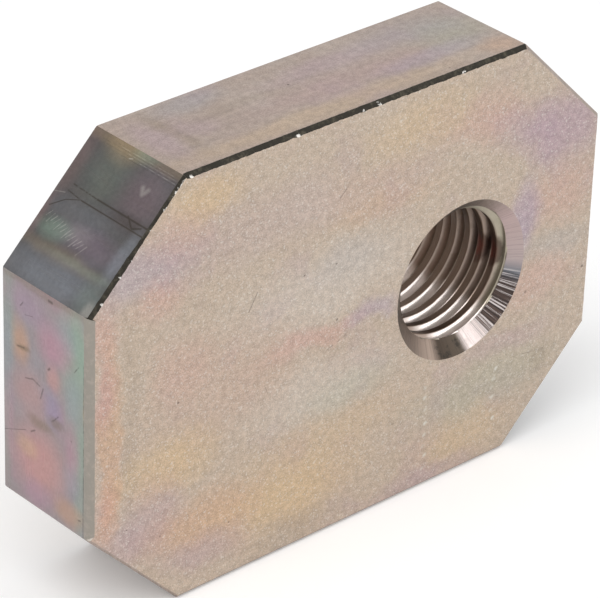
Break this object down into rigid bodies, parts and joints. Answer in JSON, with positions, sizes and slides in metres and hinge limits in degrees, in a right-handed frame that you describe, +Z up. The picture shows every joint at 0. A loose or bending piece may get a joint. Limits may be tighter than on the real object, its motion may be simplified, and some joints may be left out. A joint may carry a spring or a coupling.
{
  "type": "t slot nut",
  "caption": "Rectangular T-slot plate nut of zinc plated steel, with cropped corners and an off-centre countersunk tapped hole for an M16 screw.",
  "frame": {"origin": "on the tapped hole's axis, half way through the plate's thickness", "axes": "+X along the nut towards the end nearer the hole, -Y out of the front face along the hole, +Z up as it stands on its long edge"},
  "size_m": [0.067, 0.0132, 0.047],
  "materials": {
    "zinc_plated_steel": "zinc plate with an iridescent yellow passivation, satin on the rolled faces and bare in the thread"
  },
  "bodies": {
    "root": {"t_slot_nut": "zinc_plated_steel"}
  },
  "joints": []
}
